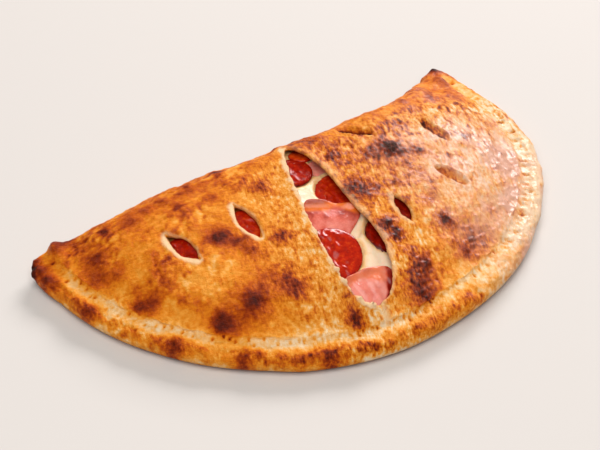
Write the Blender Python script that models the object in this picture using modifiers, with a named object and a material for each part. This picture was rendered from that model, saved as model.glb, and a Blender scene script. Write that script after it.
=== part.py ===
"""Half-moon stromboli: a folded, crimped crust, cut open over cheese, pepperoni and ham.

Metres, +Z up. It lies flat on z = 0 with its footprint centred on the origin. X runs along
the fold from tip to tip, the fold is on the +Y side, and the curved, crimped edge faces -Y.

Every height comes from one surface, crust_top(x, y): a profile that climbs from the crimped
edge over a rim and a groove, and a profile that rounds over the fold, blended where they meet.
The crust is one shell of dough: flat underneath, round over the top, turned in at the lip of
the large gash, and back under itself round the filling.
"""
import math

import bmesh
import bpy
import numpy as np

# Footprint
HALF_LENGTH = 0.1455       # half of the length, tip to tip
ARC_REACH = 0.1368         # from the arc's widest line to the front of the crimped edge
ARC_LINE_Y = 0.0540        # the arc's widest line
ARC_POWER_LEFT = 1.97      # 2 is an ellipse, more is squarer
ARC_POWER_RIGHT = 2.16
ARC_POWER_BLEND = 0.020    # how far either side of the middle the one passes into the other
ARC_START = -200.0         # degrees: the arc is swept from past one tip to past the other
ARC_END = 20.0
TIP_ROUNDING = 0.0035      # the corners at both tips are worn round over this length
# The fold sags towards the front in its middle and flares back at both tips.
FOLD_LINE = (
    (-0.1455, 0.0785), (-0.1330, 0.0840), (-0.1165, 0.0795), (-0.0720, 0.0755), (0.0000, 0.0650),
    (0.0640, 0.0645), (0.1000, 0.0675), (0.1275, 0.0805), (0.1380, 0.0828), (0.1455, 0.0800),
)

# Heights
DOME_HEIGHT = 0.0384
DOME_RUN = 0.036           # how far in the dome takes to rise by about two thirds
CREST_AT_TIPS = 0.0215     # height of the crest along the fold, at the tips
CREST_SWELL = 0.0216       # and how much higher it is at its highest point
CREST_X = -0.0300
CREST_RUN_LEFT = 0.115
CREST_RUN_RIGHT = 0.175
CREST_POWER_LEFT = 2.0     # how squarely the crest drops to each tip
CREST_POWER_RIGHT = 3.0
FOLD_RADIUS = 0.032        # the round of the fold, measured inward
BLEND = 0.006              # how softly the two profiles meet
FRONT_WAIST = 0.0055       # height of the outermost line of the crimped edge
FOLD_WAIST = 0.010         # and of the fold

# Crimp
RIM_HEIGHT = 0.0130
RIM_WIDTH = 0.006          # from the edge to the top of the rim
RISE_START = 2 * RIM_WIDTH  # from here inward the crust rises to the dome
GROOVE_INSET = 0.0145
GROOVE_WIDTH = 0.0045
GROOVE_DEPTH = 0.0042
PRICK_DEPTH = 0.0012       # fork pricks, one on every second side of the groove
FOOT_INSET = 0.0050        # the flat base starts this far inside the edge
TUCK_SHARE = 0.3           # between base and edge, the share of the inset and of the height

# Dough
CRUST_THICKNESS = 0.0033
LIP_THICKNESS = 0.0024
BASE_THICKNESS = 0.0040
SEAL_WIDTH = 0.0158        # solid dough behind the crimped edge
FOLD_WALL = 0.0048         # and along the fold

# The large gash, a teardrop from the crest of the fold to just behind the crimp
GASH_BACK = (0.0015, 0.0535)
GASH_FRONT = (-0.0230, -0.0605)
GASH_HALF_WIDTH = 0.0165
GASH_BOW = 0.0030          # its middle bows to the right
GASH_BACK_POWER = 0.80     # how fast it opens from the back end, and closes at the front
GASH_FRONT_POWER = 0.40
LIP_RAISE = 0.0014         # the cut edges stand up a little
LIP_RUN = 0.0050

# Small slits: centre, direction in degrees from +X, half length, half width, depth of the cut
SLITS = {
    "slit_far_left": ((-0.0853, 0.0245), -80, 0.0135, 0.0050, 0.0065),
    "slit_left": ((-0.0493, 0.0172), -94, 0.0145, 0.0048, 0.0065),
    "slit_right": ((0.0245, -0.0215), -100, 0.0110, 0.0040, 0.0065),
    "scar_back": ((0.0418, 0.0410), -53, 0.0090, 0.0022, 0.0018),
    "scar_far_right": ((0.0832, 0.0190), -84, 0.0100, 0.0040, 0.0018),
    "scar_front_right": ((0.0640, -0.0153), -66, 0.0090, 0.0036, 0.0016),
}

# Filling
FILLING_GAP = 0.0009       # cheese to crust
WALL_GAP = 0.0030          # along a spoke, which meets the wall at a slant
POCKET_DEPTH = 0.0052      # the cheese lies this much lower under the gash's slices
SLIT_POCKET_DEPTH = 0.0030  # and under the slices at the small slits
POCKET_MARGIN = 0.0055
SLIT_POCKET_MARGIN = 0.0100
POCKET_RAMP = 0.0060
CONTACT_GAP = 0.0003
LAYER = 0.0028             # one slice on another
LEVEL_SHARE = 0.40         # this much of a slice lies on its neighbour, the rest slopes down
PEPPERONI_THICKNESS = 0.0021
PEPPERONI_CUP = 0.0004     # how much higher a slice's edge is than its middle
# Share of the radius and of the thickness, from the middle of the base to that of the top
PEPPERONI_SECTION = (
    (0.0, 0.0), (0.55, 0.0), (0.92, 0.0), (1.0, 0.5), (0.92, 1.0), (0.55, 1.0), (0.0, 1.0),
)
HAM_THICKNESS = 0.0017
HAM_CORNERS = 0.28         # how far its corners are drawn in, 0 for a plain rectangle

# Pepperoni: centre, radius, layer at its back edge, layer at its front edge
PEPPERONI_IN_GASH = {
    "pepperoni_1": ((-0.0055, 0.0359), 0.0120, 1.0, 1.0),
    "pepperoni_2": ((0.0088, 0.0095), 0.0155, 0.0, 0.0),
    "pepperoni_3": ((-0.0240, -0.0225), 0.0165, 1.0, 0.0),
    "pepperoni_4": ((0.0120, -0.0275), 0.0150, 0.0, 0.0),
    "pepperoni_7": ((0.0300, -0.0200), 0.0125, 1.0, 1.0),
    "pepperoni_8": ((0.0070, 0.0468), 0.0075, 0.0, 0.0),
}
PEPPERONI_AT_SLITS = {
    "pepperoni_5": ((-0.0840, 0.0225), 0.0135, 0.0, 0.0),
    "pepperoni_6": ((-0.0478, 0.0160), 0.0145, 0.0, 0.0),
}
# Ham: centre, direction of its folded back edge, width along it, depth, layers at back and front
HAM = {
    "ham_1": ((0.0095, 0.0320), 0, 0.0140, 0.0118, 0.0, 0.0),
    "ham_2": ((-0.0105, -0.0045), -38, 0.0330, 0.0235, 1.0, 0.0),
    "ham_3": ((-0.0190, -0.0500), -8, 0.0300, 0.0200, 1.0, 0.0),
}

# Fineness of the solids
CRUST_SIDES = 112
# How far inside the edge the rings of the crimp and the lower dome run
EDGE_RINGS = (0.0010, 0.0030, RIM_WIDTH, 0.0100, GROOVE_INSET, 0.0190, 0.0250, 0.0340)
BASE_RINGS = 4             # inner base, edge of the flat base, tuck, waist
FLOOR_RINGS = 2
DOME_RINGS = 6
CEILING_RINGS = 7
POCKET_RINGS = 3           # on the cheese, from under the gash's edge to the hub
RING_CROWDING = 1.6        # rings lie closer together near the gash
SLICE_SIDES = 20
HAM_COLUMNS = 9
HAM_ROWS = 7
CUTTER_SIDES = 16
CUTTER_RINGS = 8
SEARCHED_SHARE = 0.92      # of each spoke, from the edge in, to find its insets
EDGE_STEP = 4              # the search's step that tells which edge a spoke starts from
SHARP_ANGLE = 50           # degrees between faces that are shaded with an edge

# Finishes: colour and roughness
DOUGH_FINISH = ((0.60, 0.33, 0.11, 1.0), 0.55)
CHEESE_FINISH = ((0.90, 0.80, 0.55, 1.0), 0.35)
PEPPERONI_FINISH = ((0.46, 0.05, 0.03, 1.0), 0.30)
HAM_FINISH = ((0.78, 0.36, 0.33, 1.0), 0.35)


def lerp(a, b, share):
    return a + (b - a) * share


def falloff(distance, run):
    """1 on a line and along it, fading to nothing about two runs away."""
    return math.exp(-(distance / run) ** 2)


def arch(inset, run):
    """A quarter ellipse: 0 at the edge, 1 from run inward."""
    share = min(max(inset, 0.0) / run, 1.0)
    return math.sqrt(1.0 - (1.0 - share) ** 2)


def smooth_min(a, b, width):
    share = min(max(0.5 + 0.5 * (b - a) / width, 0.0), 1.0)
    return lerp(b, a, share) - width * share * (1.0 - share)


# ---------------------------------------------------------------- the footprint

def fold_y(x):
    """The fold's line, a smooth curve through FOLD_LINE."""
    points = FOLD_LINE
    x = min(max(x, points[0][0]), points[-1][0])
    i = 0
    while i < len(points) - 2 and x > points[i + 1][0]:
        i += 1
    slopes = []
    for k in (i, i + 1):
        before = points[max(k - 1, 0)]
        after = points[min(k + 1, len(points) - 1)]
        slopes.append((after[1] - before[1]) / (after[0] - before[0]))
    (x0, y0), (x1, y1) = points[i], points[i + 1]
    step = x1 - x0
    t = (x - x0) / step
    curve = (2 * t ** 3 - 3 * t ** 2 + 1) * y0 + (-2 * t ** 3 + 3 * t ** 2) * y1
    return curve + step * ((t ** 3 - 2 * t ** 2 + t) * slopes[0] + (t ** 3 - t ** 2) * slopes[1])


def arc_share(x, y):
    """1 on the arc of the crimped edge, less inside it."""
    to_right = 1.0 / (1.0 + math.exp(-x / ARC_POWER_BLEND))
    power = lerp(ARC_POWER_LEFT, ARC_POWER_RIGHT, to_right)
    along = (abs(x) / HALF_LENGTH) ** power
    out = (abs(y - ARC_LINE_Y) / ARC_REACH) ** power
    return (along + out) ** (1.0 / power)


def front_inset(x, y):
    share = arc_share(x, y)
    return (1.0 - share) / max(share, 0.001) * math.hypot(x, y - ARC_LINE_Y)


def fold_inset(x, y):
    return fold_y(x) - y


def dense_outline(steps=1440):
    """The footprint's edge, anticlockwise: the crimped arc, then the fold, with worn tips."""
    points = []
    for k in range(steps):
        angle = math.radians(lerp(ARC_START, ARC_END, k / steps))
        reach = 1.0 / arc_share(math.cos(angle), ARC_LINE_Y + math.sin(angle))
        x = reach * math.cos(angle)
        # arc_share blends its power by x, so the reach is found twice, the second time at x
        y = ARC_LINE_Y + reach * math.sin(angle)
        reach /= arc_share(x, y)
        x = reach * math.cos(angle)
        y = ARC_LINE_Y + reach * math.sin(angle)
        if y < fold_y(x):
            points.append((x, y))
    right, left = points[-1][0], points[0][0]
    for k in range(1, steps // 2):
        x = lerp(right, left, k / (steps // 2))
        points.append((x, fold_y(x)))
    edge = np.array(points)
    spacing = np.linalg.norm(np.roll(edge, -1, axis=0) - edge, axis=1)
    reach = int(round(TIP_ROUNDING / spacing.mean()))
    kernel = np.ones(2 * reach + 1) / (2 * reach + 1)
    for axis in (0, 1):
        ring = np.concatenate((edge[-reach:, axis], edge[:, axis], edge[:reach, axis]))
        edge[:, axis] = np.convolve(ring, kernel, mode="valid")
    return edge


# ---------------------------------------------------------------- the gash

def gash_spine(share):
    x = lerp(GASH_BACK[0], GASH_FRONT[0], share) + GASH_BOW * math.sin(math.pi * share)
    return x, lerp(GASH_BACK[1], GASH_FRONT[1], share)


def gash_half_width(share):
    """A teardrop: it opens slowly from the back end and closes faster at the front."""
    share = min(max(share, 0.0), 1.0)
    a, b = GASH_BACK_POWER, GASH_FRONT_POWER
    widest = a / (a + b)
    top = widest ** a * (1.0 - widest) ** b
    return GASH_HALF_WIDTH * share ** a * (1.0 - share) ** b / top


def gash_distance(x, y):
    """How far a point is outside the gash's edge, less than 0 inside it."""
    span = GASH_FRONT[1] - GASH_BACK[1]
    share = (y - GASH_BACK[1]) / span
    if share < 0.0:
        return math.hypot(x - GASH_BACK[0], y - GASH_BACK[1])
    if share > 1.0:
        return math.hypot(x - GASH_FRONT[0], y - GASH_FRONT[1])
    slant = math.cos(math.atan2(GASH_BACK[0] - GASH_FRONT[0], -span))
    return (abs(x - gash_spine(share)[0]) - gash_half_width(share)) * slant


def gash_outline(steps=180):
    points = []
    for k in range(steps + 1):
        share = 0.5 - 0.5 * math.cos(math.pi * k / steps)
        x, y = gash_spine(share)
        points.append((x - gash_half_width(share), y))
    for k in range(steps - 1, 0, -1):
        share = 0.5 - 0.5 * math.cos(math.pi * k / steps)
        x, y = gash_spine(share)
        points.append((x + gash_half_width(share), y))
    return np.array(points)


HUB = gash_spine(0.5)      # every ring of the crust and the cheese runs round this point


# ---------------------------------------------------------------- the heights

def crest(x):
    run, power = (CREST_RUN_RIGHT, CREST_POWER_RIGHT)
    if x < CREST_X:
        run, power = (CREST_RUN_LEFT, CREST_POWER_LEFT)
    share = min(abs(x - CREST_X) / run, 1.0)
    return CREST_AT_TIPS + CREST_SWELL * (1.0 - share ** power)


def front_profile(inset):
    rim = lerp(FRONT_WAIST, RIM_HEIGHT, arch(inset, RIM_WIDTH))
    groove = GROOVE_DEPTH * falloff(inset - GROOVE_INSET, GROOVE_WIDTH)
    rise = 1.0 - math.exp(-max(inset - RISE_START, 0.0) / DOME_RUN)
    return rim - groove + (DOME_HEIGHT - RIM_HEIGHT) * rise


def fold_profile(x, inset):
    top = crest(x)
    return lerp(min(FOLD_WAIST, top / 2), top, arch(inset, FOLD_RADIUS))


def dome(x, y):
    """Height of the risen crust, before it was slashed."""
    front = front_profile(front_inset(x, y))
    return smooth_min(front, fold_profile(x, fold_inset(x, y)), BLEND)


def near_lip(x, y):
    return falloff(max(gash_distance(x, y), 0.0), LIP_RUN)


def crust_top(x, y):
    """Height of the crust's outer surface: the cut edges have lifted."""
    return dome(x, y) + LIP_RAISE * near_lip(x, y)


def ceiling(x, y):
    """Height of the crust's inner surface, over the filling."""
    return crust_top(x, y) - lerp(CRUST_THICKNESS, LIP_THICKNESS, near_lip(x, y))


def pocket(x, y):
    """How much lower the cheese lies, to make room for the slices."""
    hams = [(centre, width / 2) for centre, _, width, _, _, _ in HAM.values()]
    rounds = [(centre, radius) for centre, radius, _, _ in PEPPERONI_IN_GASH.values()]
    at_slits = [(centre, radius) for centre, radius, _, _ in PEPPERONI_AT_SLITS.values()]
    lower = [POCKET_DEPTH * ramp(gash_distance(x, y) - POCKET_MARGIN)]
    for (cx, cy), radius in hams + rounds:
        lower.append(POCKET_DEPTH * ramp(math.hypot(x - cx, y - cy) - radius - POCKET_MARGIN))
    for (cx, cy), radius in at_slits:
        outside = math.hypot(x - cx, y - cy) - radius - SLIT_POCKET_MARGIN
        lower.append(SLIT_POCKET_DEPTH * ramp(outside))
    return max(lower)


def ramp(outside):
    """1 inside, fading to 0 over the pocket's sloping border."""
    return min(max(1.0 - outside / POCKET_RAMP, 0.0), 1.0)


def bed(x, y, depth):
    """The cheese's surface, this far under the crust. The slices lie on it."""
    return dome(x, y) - CRUST_THICKNESS - FILLING_GAP - depth


# ---------------------------------------------------------------- modelling tools

def new_collection(name):
    group = bpy.data.collections.new(name)
    bpy.context.scene.collection.children.link(group)
    return group


def new_material(name, color, roughness):
    material = bpy.data.materials.new(name)
    material.use_nodes = True
    shader = material.node_tree.nodes["Principled BSDF"]
    shader.inputs["Base Color"].default_value = color
    shader.inputs["Roughness"].default_value = roughness
    shader.inputs["Metallic"].default_value = 0.0
    return material


def new_object(name, bm, group, material=None):
    bmesh.ops.recalc_face_normals(bm, faces=bm.faces[:])
    bmesh.ops.triangulate(bm, faces=bm.faces[:])
    mesh = bpy.data.meshes.new(name)
    bm.to_mesh(mesh)
    bm.free()
    obj = bpy.data.objects.new(name, mesh)
    group.objects.link(obj)
    if material:
        mesh.materials.append(material)
        mesh.shade_smooth()
        mesh.set_sharp_from_angle(angle=math.radians(SHARP_ANGLE))
    return obj


def shaped_ball(sides, rings, place):
    """A sphere with each vertex moved to place(side, ring). Rings 0 and the last are the poles."""
    bm = bmesh.new()
    bmesh.ops.create_uvsphere(bm, u_segments=sides, v_segments=rings, radius=1.0)
    for vert in bm.verts:
        ring = round(math.acos(min(max(-vert.co.z, -1.0), 1.0)) / math.pi * rings)
        side = round(math.atan2(vert.co.y, vert.co.x) / (2 * math.pi) * sides) % sides
        vert.co = place(side, ring)
    return bm


class Spokes:
    """Straight lines from the hub to the footprint's edge, evenly spaced along the edge."""

    def __init__(self, sides):
        edge = dense_outline()
        start = int(np.argmax(edge[:, 0]))
        edge = np.roll(edge, -start, axis=0)
        steps = np.linalg.norm(np.roll(edge, -1, axis=0) - edge, axis=1)
        length = np.concatenate(((0.0,), np.cumsum(steps)))
        closed = np.vstack((edge, edge[:1]))
        stations = np.arange(sides) * length[-1] / sides
        self.edge = np.column_stack([np.interp(stations, length, closed[:, k]) for k in (0, 1)])
        arms = self.edge - HUB
        self.reach = np.linalg.norm(arms, axis=1)
        self.way = arms / self.reach[:, None]
        self.gash = self.gash_reach()
        self.room = self.reach - self.gash
        self.depths, self.insets = self.measure(sides)

    def gash_reach(self):
        """Distance from the hub to the gash's edge along each spoke."""
        rim = gash_outline() - HUB
        angle = np.arctan2(rim[:, 1], rim[:, 0])
        order = np.argsort(angle)
        spoke = np.arctan2(self.way[:, 1], self.way[:, 0])
        return np.interp(spoke, angle[order], np.linalg.norm(rim, axis=1)[order], period=2 * math.pi)

    def measure(self, sides, steps=160):
        """Along each spoke, the way in from the edge and the true inset at each step."""
        depths = np.linspace(0.0, SEARCHED_SHARE, steps)[None, :] * self.reach[:, None]
        insets = np.zeros((sides, steps, 2))
        for side in range(sides):
            for step in range(steps):
                x, y = self.at(side, self.reach[side] - depths[side, step])
                insets[side, step] = (front_inset(x, y), fold_inset(x, y))
        return depths, insets

    def at(self, side, radius):
        return HUB[0] + self.way[side, 0] * radius, HUB[1] + self.way[side, 1] * radius

    def depth_where(self, side, inset):
        """How far in along the spoke the nearer edge is this far away."""
        nearer = np.minimum(self.insets[side, :, 0], self.insets[side, :, 1])
        return float(np.interp(inset, np.maximum.accumulate(nearer), self.depths[side]))

    def filling_depth(self, side):
        """How far in along the spoke the hollow for the filling starts."""
        clear = (self.insets[side, :, 0] >= SEAL_WIDTH) & (self.insets[side, :, 1] >= FOLD_WALL)
        return float(self.depths[side, int(np.argmax(clear))])

    def is_front(self, side):
        return self.insets[side, EDGE_STEP, 0] < self.insets[side, EDGE_STEP, 1]


# ---------------------------------------------------------------- the crust

def make_crust(spokes, group, material):
    edge_end = BASE_RINGS + len(EDGE_RINGS)
    lip_top = edge_end + DOME_RINGS
    lip_under = lip_top + 1
    wall_top = lip_under + CEILING_RINGS
    last = wall_top + FLOOR_RINGS + 1

    def base(side, ring):
        x, y = spokes.edge[side]
        waist = FRONT_WAIST if spokes.is_front(side) else FOLD_WAIST
        if ring == BASE_RINGS:
            return x, y, waist
        if ring == BASE_RINGS - 1:
            depth = spokes.depth_where(side, FOOT_INSET * TUCK_SHARE)
            return *spokes.at(side, spokes.reach[side] - depth), waist * TUCK_SHARE
        foot = spokes.reach[side] - spokes.depth_where(side, FOOT_INSET)
        return *spokes.at(side, foot * ring / (BASE_RINGS - 2)), 0.0

    def outside(side, ring):
        evenly = spokes.room[side] * (ring - BASE_RINGS) / (lip_top - BASE_RINGS)
        if ring <= edge_end:
            depth = min(spokes.depth_where(side, EDGE_RINGS[ring - BASE_RINGS - 1]), evenly)
        else:
            deepest = min(spokes.depth_where(side, EDGE_RINGS[-1]),
                          spokes.room[side] * (edge_end - BASE_RINGS) / (lip_top - BASE_RINGS))
            share = 1.0 - (1.0 - (ring - edge_end) / DOME_RINGS) ** RING_CROWDING
            depth = lerp(deepest, spokes.room[side], share)
        x, y = spokes.at(side, spokes.reach[side] - depth)
        z = crust_top(x, y)
        in_groove = ring == BASE_RINGS + 1 + EDGE_RINGS.index(GROOVE_INSET)
        if in_groove and side % 2 and spokes.is_front(side):
            z -= PRICK_DEPTH
        return x, y, z

    def inside(side, ring):
        if ring <= wall_top:
            radius = ceiling_radius(spokes, side, (ring - lip_under) / CEILING_RINGS)
            x, y = spokes.at(side, radius)
            return x, y, ceiling(x, y)
        radius = ceiling_radius(spokes, side, 1.0)
        share = 1.0 - (ring - wall_top - 1) / FLOOR_RINGS
        return *spokes.at(side, radius * share), BASE_THICKNESS

    def place(side, ring):
        if ring == 0:
            return *HUB, 0.0
        if ring == last:
            return *HUB, BASE_THICKNESS
        if ring <= BASE_RINGS:
            return base(side, ring)
        return outside(side, ring) if ring <= lip_top else inside(side, ring)

    return new_object("crust", shaped_ball(CRUST_SIDES, last, place), group, material)


def ceiling_radius(spokes, side, share):
    """Radius of the ceiling's rings, from the gash's lip to the wall, closer near the lip."""
    wall = spokes.reach[side] - spokes.filling_depth(side)
    return lerp(spokes.gash[side], wall, share ** RING_CROWDING)


def cut_slits(crust, cutters):
    """Each slit is a lens, cut by a long flat ball that sits on the surface."""
    for name, ((x, y), direction, half_length, half_width, depth) in SLITS.items():
        bm = bmesh.new()
        bmesh.ops.create_uvsphere(bm, u_segments=CUTTER_SIDES, v_segments=CUTTER_RINGS, radius=1.0)
        bmesh.ops.scale(bm, verts=bm.verts, vec=(half_length, half_width, depth))
        cutter = new_object(name, bm, cutters)
        cutter.location = (x, y, crust_top(x, y))
        cutter.rotation_euler.z = math.radians(direction)
        cutter.hide_render = True
        cutter.display_type = "WIRE"
        cut = crust.modifiers.new(name, "BOOLEAN")
        cut.operation = "DIFFERENCE"
        cut.object = cutter


# ---------------------------------------------------------------- the filling

def make_cheese(spokes, group, material):
    """The melted cheese fills the hollow, on every second spoke."""
    floor = BASE_THICKNESS + FILLING_GAP
    wall_top = FLOOR_RINGS + 1
    gash_edge = wall_top + CEILING_RINGS
    last = gash_edge + POCKET_RINGS

    def place(side, ring):
        side *= 2
        wall = ceiling_radius(spokes, side, 1.0)
        if ring in (0, last):
            z = floor if ring == 0 else bed(*HUB, pocket(*HUB))
            return *HUB, z
        if ring <= FLOOR_RINGS:
            return *spokes.at(side, (wall - WALL_GAP) * ring / FLOOR_RINGS), floor
        if ring == wall_top:
            # as high as the ceiling's own edge, and a little further in
            height = bed(*spokes.at(side, wall), 0.0)
            return *spokes.at(side, wall - WALL_GAP), max(height, floor + FILLING_GAP)
        if ring <= gash_edge:
            radius = ceiling_radius(spokes, side, (gash_edge - ring) / CEILING_RINGS)
        else:
            radius = spokes.gash[side] * (last - ring) / (last - gash_edge)
        x, y = spokes.at(side, radius)
        return x, y, max(bed(x, y, pocket(x, y)), floor + FILLING_GAP)

    new_object("cheese", shaped_ball(CRUST_SIDES // 2, last, place), group, material)


def lie_on_bed(x, y, depth, back_layer, front_layer, forward):
    """A slice's underside: level over its back part, then down to its front layer."""
    layer = lerp(back_layer, front_layer, max(forward - LEVEL_SHARE, 0.0) / (1.0 - LEVEL_SHARE))
    return bed(x, y, depth) + CONTACT_GAP + layer * LAYER


def make_pepperoni(name, centre, radius, back_layer, front_layer, depth, group, material):
    """A round slice with a soft edge, draped over the bed and cupped a little."""
    def place(side, ring):
        out, up = PEPPERONI_SECTION[ring]
        angle = 2 * math.pi * side / SLICE_SIDES
        x = centre[0] + radius * out * math.cos(angle)
        y = centre[1] + radius * out * math.sin(angle)
        forward = 0.5 - (y - centre[1]) / (2 * radius)
        z = lie_on_bed(x, y, depth, back_layer, front_layer, forward)
        return x, y, z + up * PEPPERONI_THICKNESS + PEPPERONI_CUP * out ** 2

    rings = len(PEPPERONI_SECTION) - 1
    new_object(name, shaped_ball(SLICE_SIDES, rings, place), group, material)


def make_ham(name, centre, direction, width, length, back_layer, front_layer, group, material):
    """A thin slice, draped over the bed, with rounded corners."""
    bm = bmesh.new()
    bmesh.ops.create_grid(bm, x_segments=HAM_COLUMNS, y_segments=HAM_ROWS, size=1.0)
    turn = math.radians(direction)
    for vert in bm.verts:
        u, v = vert.co.x, vert.co.y
        round_off = math.sqrt(1.0 - HAM_CORNERS * (u * v) ** 2)
        across = u * width / 2 * round_off
        back = v * length / 2 * round_off
        x = centre[0] + across * math.cos(turn) - back * math.sin(turn)
        y = centre[1] + across * math.sin(turn) + back * math.cos(turn)
        vert.co = (x, y, lie_on_bed(x, y, POCKET_DEPTH, back_layer, front_layer, (1.0 - v) / 2))
    ham = new_object(name, bm, group, material)
    thick = ham.modifiers.new("thickness", "SOLIDIFY")
    thick.thickness = HAM_THICKNESS
    thick.offset = 1.0 if ham.data.polygons[0].normal.z > 0 else -1.0


def build():
    for obj in list(bpy.data.objects):
        bpy.data.objects.remove(obj)
    parts = new_collection("stromboli")
    cutters = new_collection("cutters")
    dough = new_material("baked_dough", *DOUGH_FINISH)
    melted = new_material("melted_cheese", *CHEESE_FINISH)
    sausage = new_material("pepperoni", *PEPPERONI_FINISH)
    cooked_ham = new_material("ham", *HAM_FINISH)
    spokes = Spokes(CRUST_SIDES)
    crust = make_crust(spokes, parts, dough)
    cut_slits(crust, cutters)
    make_cheese(spokes, parts, melted)
    for name, (centre, radius, back, front) in PEPPERONI_IN_GASH.items():
        make_pepperoni(name, centre, radius, back, front, POCKET_DEPTH, parts, sausage)
    for name, (centre, radius, back, front) in PEPPERONI_AT_SLITS.items():
        make_pepperoni(name, centre, radius, back, front, SLIT_POCKET_DEPTH, parts, sausage)
    for name, values in HAM.items():
        make_ham(name, *values, parts, cooked_ham)


build()
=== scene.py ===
"""A half-moon stromboli, dressed over its solids: baked dough, melted cheese and sliced meat.

The file follows the piece as it is put together: the dough with its crimp and its slashes, the
cheese inside it, the pepperoni and the ham, and last the table, the light and the camera.
Metres, +Z up, +X along the fold from tip to tip, -Y towards the crimped edge.
"""

import math
from types import SimpleNamespace

import bmesh
import bpy
import numpy as np
from mathutils import Matrix, Vector, noise
from mathutils.bvhtree import BVHTree


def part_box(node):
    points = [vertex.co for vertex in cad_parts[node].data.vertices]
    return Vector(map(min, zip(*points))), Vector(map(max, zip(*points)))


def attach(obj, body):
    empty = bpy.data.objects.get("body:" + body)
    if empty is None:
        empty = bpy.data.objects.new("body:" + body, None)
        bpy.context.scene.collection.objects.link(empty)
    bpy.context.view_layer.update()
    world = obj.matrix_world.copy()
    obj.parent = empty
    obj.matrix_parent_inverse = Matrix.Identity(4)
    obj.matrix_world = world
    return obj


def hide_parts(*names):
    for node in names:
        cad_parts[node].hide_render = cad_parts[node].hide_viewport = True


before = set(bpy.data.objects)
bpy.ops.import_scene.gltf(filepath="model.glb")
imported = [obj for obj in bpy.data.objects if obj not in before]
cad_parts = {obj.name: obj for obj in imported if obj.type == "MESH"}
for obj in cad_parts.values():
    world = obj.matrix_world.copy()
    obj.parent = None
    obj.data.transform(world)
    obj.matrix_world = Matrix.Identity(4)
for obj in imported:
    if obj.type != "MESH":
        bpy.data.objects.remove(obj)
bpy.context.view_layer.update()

# ------------------------------------------------------------------ the dough
# One round of pizza dough, folded over the filling and sealed with a fork along its curved
# edge. The oven has raised it unevenly into a low dome, browned its bubbles, and dried the
# edges of the slashes that let the steam out into thin pale lips.

MM = 0.001
DOUGH_VOXEL = 0.89 * MM        # fineness of the dough's mesh before its hidden side is thinned
DOUGH_SMOOTHING = 7
PAIR_ANGLE = math.radians(40)  # two triangles that differ less than this become one face
PAIR_SHAPE = math.radians(60)
HIDDEN_SHARE = 0.05            # of the faces inside and underneath, this many are kept
SIGHT = 60 * MM                # a surface that sees another this near is inside
UNDERSIDE_REACH = 1.5 * MM     # and what is lower than this is underneath
LIP_REACH = 7 * MM             # the lips of the gash count as seen, down to LIP_LOW
LIP_LOW = 15 * MM

# The curved edge is half of a squared-off ellipse round the middle of its widest line
HALF_LENGTH = 145.5 * MM
ARC_REACH = 136.8 * MM
ARC_LINE_Y = 54 * MM
ARC_POWER_LEFT = 1.97
ARC_POWER_RIGHT = 2.16
ARC_POWER_BLEND = 20 * MM
GROOVE_INSET = 14.5 * MM       # of the solid's groove
CRIMP_INSET = 11.6 * MM        # of the fork's marks, which lie a little nearer to the edge
CRIMP_LESS_RIGHT = 3.1 * MM    # nearer still round the two ends
CRIMP_LESS_LEFT = 1.0 * MM
FOLD_Y = 68 * MM               # the fold's line, on average
EDGE_SEAM = math.radians(25)   # directions round the edge run down from here

# The large gash, from the crest of the fold to just behind the crimp
GASH_BACK = (1.5 * MM, 53.5 * MM)
GASH_FRONT = (-23 * MM, -60.5 * MM)
GASH_HALF_WIDTH = 16.5 * MM
GASH_BOW = 3 * MM
GASH_BACK_POWER = 0.80         # the more, the more pointed that end is
GASH_FRONT_POWER = 0.40
TEAR_HEIGHT = 1.3 * MM         # its edges are torn this unevenly
LIP_WIDTH = 1.3 * MM           # of the dried edge
LIP_WIDER_RIGHT = 1.6 * MM     # wider by this on the right side
LIP_WIDER_BACK = 1.0 * MM      # and by this at the back of the left side
LIP_TATTERS = 2.0 * MM
FRONT_CREASE_DEPTH = 0.8 * MM  # of the crease that runs on from its front end

# Small slits and scars in millimetres: centre x and y, degrees from +X, half length, half
# width, how pale the dried lip is
SLITS = (
    (-85.3, 24.5, -80, 13.5, 5.0, 1.0),
    (-49.3, 17.2, -94, 14.5, 4.8, 1.0),
    (24.5, -21.5, -100, 11.0, 4.0, 0.55),
)
PINCH = 1.1 * MM               # the slits' ends are drawn together this far

# Places where the knife only scored the dough: the same, but last how browned the scored place
# is, and how dark the shade painted in the cut's line is
SCARS = (
    (42.3, 41.5, -54, 10.5, 3.4, 0.60, 0.80),
    (83.8, 20.0, -87, 11.6, 3.9, 0.74, 0.32),
    (65.0, -15.0, -65, 9.5, 3.8, 0.50, 0.25),
)
SCAR_DEPTH = 2.2 * MM

# The curved edge bulges outwards, more so at the right end, and strays from its even line:
# degrees round the middle of its widest line, and mm outwards
EDGE_BULGE = 2.2 * MM
EDGE_BULGE_MORE = 1.6 * MM
EDGE_STRAY = (
    (-200, 3.0), (-187, 2.2), (-179, -2.2), (-170, -3.0), (-154, -3.9), (-146, -3.4), (-135, -2.8),
    (-129, -2.2), (-123, -0.5), (-111, 0.1), (-100, 0.5), (-88, 0.0), (-79, -0.4), (-69, -1.2),
    (-60, -2.0), (-51, -3.1), (-42, -2.0), (-34, 0.0), (-25, 1.5), (0, 1.1), (20, 1.1),
)

# The tips, where the fold meets the edge: the left one is gnarled and its point is charred
LEFT_TIP = (-145.5 * MM, 79 * MM)
LEFT_TIP_RUN = 8 * MM
LEFT_TIP_RISE = 4.0 * MM
RIGHT_TIP = (142 * MM, 84 * MM)
RIGHT_TIP_RUN = 9 * MM
RIGHT_TIP_RISE = 0.8 * MM
CHARRED_TIP = (-147 * MM, 77 * MM)
CHARRED_RUN = 5 * MM

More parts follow.
